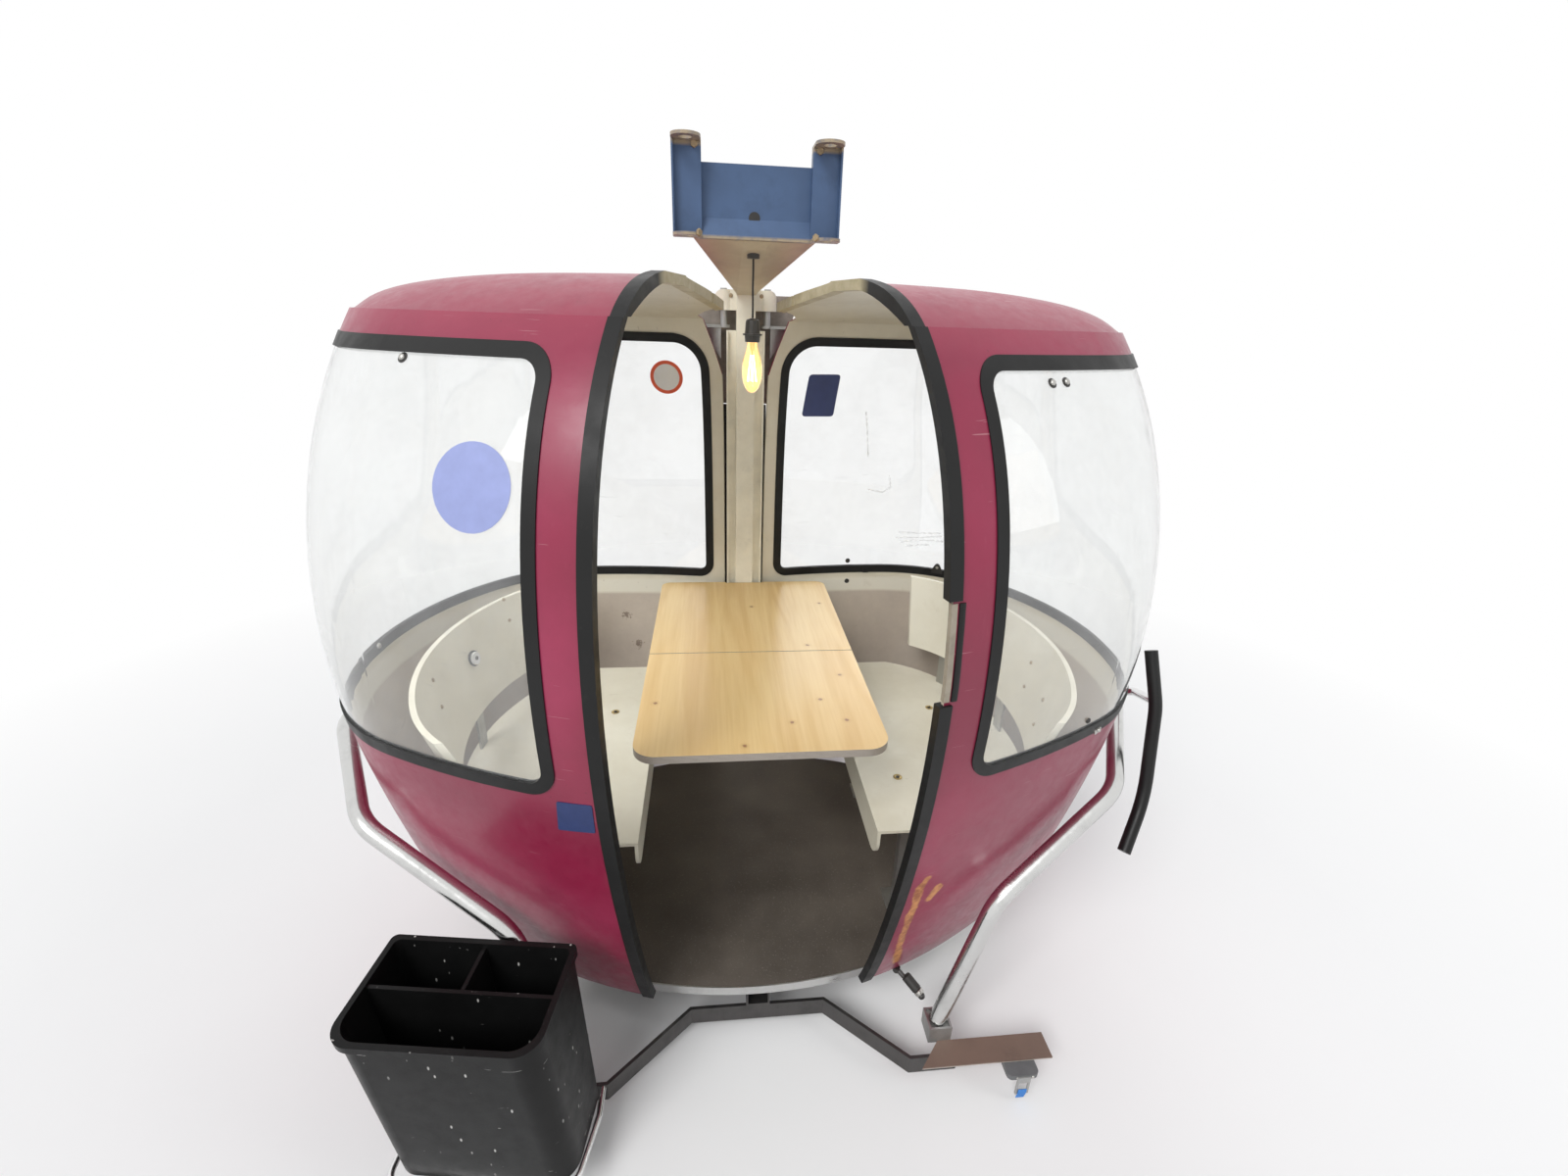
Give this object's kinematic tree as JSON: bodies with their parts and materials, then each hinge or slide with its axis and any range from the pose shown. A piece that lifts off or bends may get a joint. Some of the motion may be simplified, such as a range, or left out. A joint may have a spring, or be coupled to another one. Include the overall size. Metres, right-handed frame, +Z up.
{
  "type": "cable car cabin",
  "caption": "Egg-shaped gondola cabin in two hinged half shells, parked open, with seats, a table, a hanger bracket, bumper hoops and a ski bin.",
  "frame": {"origin": "midway between the centres of the two upper hanger lug holes, on the lugs' top faces", "axes": "+X towards the cabin's right end as seen from the door side, +Y from the door side to the post, +Z up"},
  "size_m": [2.095, 1.5437, 2.031],
  "materials": {
    "black_plastic": "black moulded plastic, scuffed",
    "black_rubber": "extruded rubber, matt",
    "bracket_blue": "blue-grey paint, worn",
    "bulb_glass": "clear warm lamp glass",
    "chrome": "chrome plated",
    "cream_grp": "cream moulded plastic, satin",
    "dark_steel": "dark painted steel",
    "floor_grey": "grey-brown ribbed floor sheet",
    "floor_trim": "aluminium edge strip",
    "galvanised": "galvanised and grey painted steel",
    "grey_plastic": "grey moulded plastic",
    "plate_brown": "brown-grey worn paint",
    "shell_red": "gloss paint on moulded glass fibre, cream inside",
    "stainless": "stainless tube",
    "window_acrylic": "clear acrylic, slightly hazy",
    "wood_pale": "clear varnished birch ply"
  },
  "bodies": {
    "frame": {"backrest_left": "cream_grp", "backrest_right": "cream_grp", "backrest_stays_left": "galvanised", "backrest_stays_right": "galvanised", "bin_guard_rod": "chrome", "bin_plate_left": "plate_brown", "bin_plate_right": "plate_brown", "bumper_tube_left": "stainless", "bumper_tube_right": "stainless", "centre_beam": "galvanised", "cross_members": "galvanised", "floor_edge": "floor_trim", "floor_panel": "floor_grey", "front_bar": "dark_steel", "hanger_arm": "bracket_blue", "hanger_bracket": "bracket_blue", "hinge_foot": "galvanised", "hinge_head": "galvanised", "lamp_bulb": "bulb_glass", "lamp_cord": "black_rubber", "lamp_gland": "black_plastic", "lamp_holder": "black_plastic", "rear_bar": "dark_steel", "seat_left": "cream_grp", "seat_legs_left": "galvanised", "seat_legs_right": "galvanised", "seat_right": "cream_grp", "ski_bin": "black_plastic", "ski_rest_bar": "black_rubber", "ski_rest_bracket": "chrome", "spine_post": "galvanised", "strap_block": "grey_plastic", "strap_buckle": "galvanised", "table_frame": "galvanised", "table_front": "wood_pale", "table_rear": "wood_pale", "tube_clamps": "galvanised"},
    "half_left": {"side_shell_left": "shell_red", "roof_left": "shell_red", "window_left": "window_acrylic", "window_seal_left": "black_rubber", "door_seal_left": "black_rubber", "hinge_arms_left": "galvanised"},
    "half_right": {"side_shell_right": "shell_red", "roof_right": "shell_red", "window_right": "window_acrylic", "window_seal_right": "black_rubber", "door_seal_right": "black_rubber", "hinge_arms_right": "galvanised", "latch_rod": "dark_steel"}
  },
  "joints": [
    {"name": "left_half_swing", "type": "hinge", "parent": "frame", "child": "half_left", "pos_m": [-0.065, 0.52, -1], "axis": [0, 0, 1], "range_deg": [0, 14.3]},
    {"name": "right_half_swing", "type": "hinge", "parent": "frame", "child": "half_right", "pos_m": [0.065, 0.52, -1], "axis": [0, 0, 1], "range_deg": [-14.3, 0]}
  ]
}
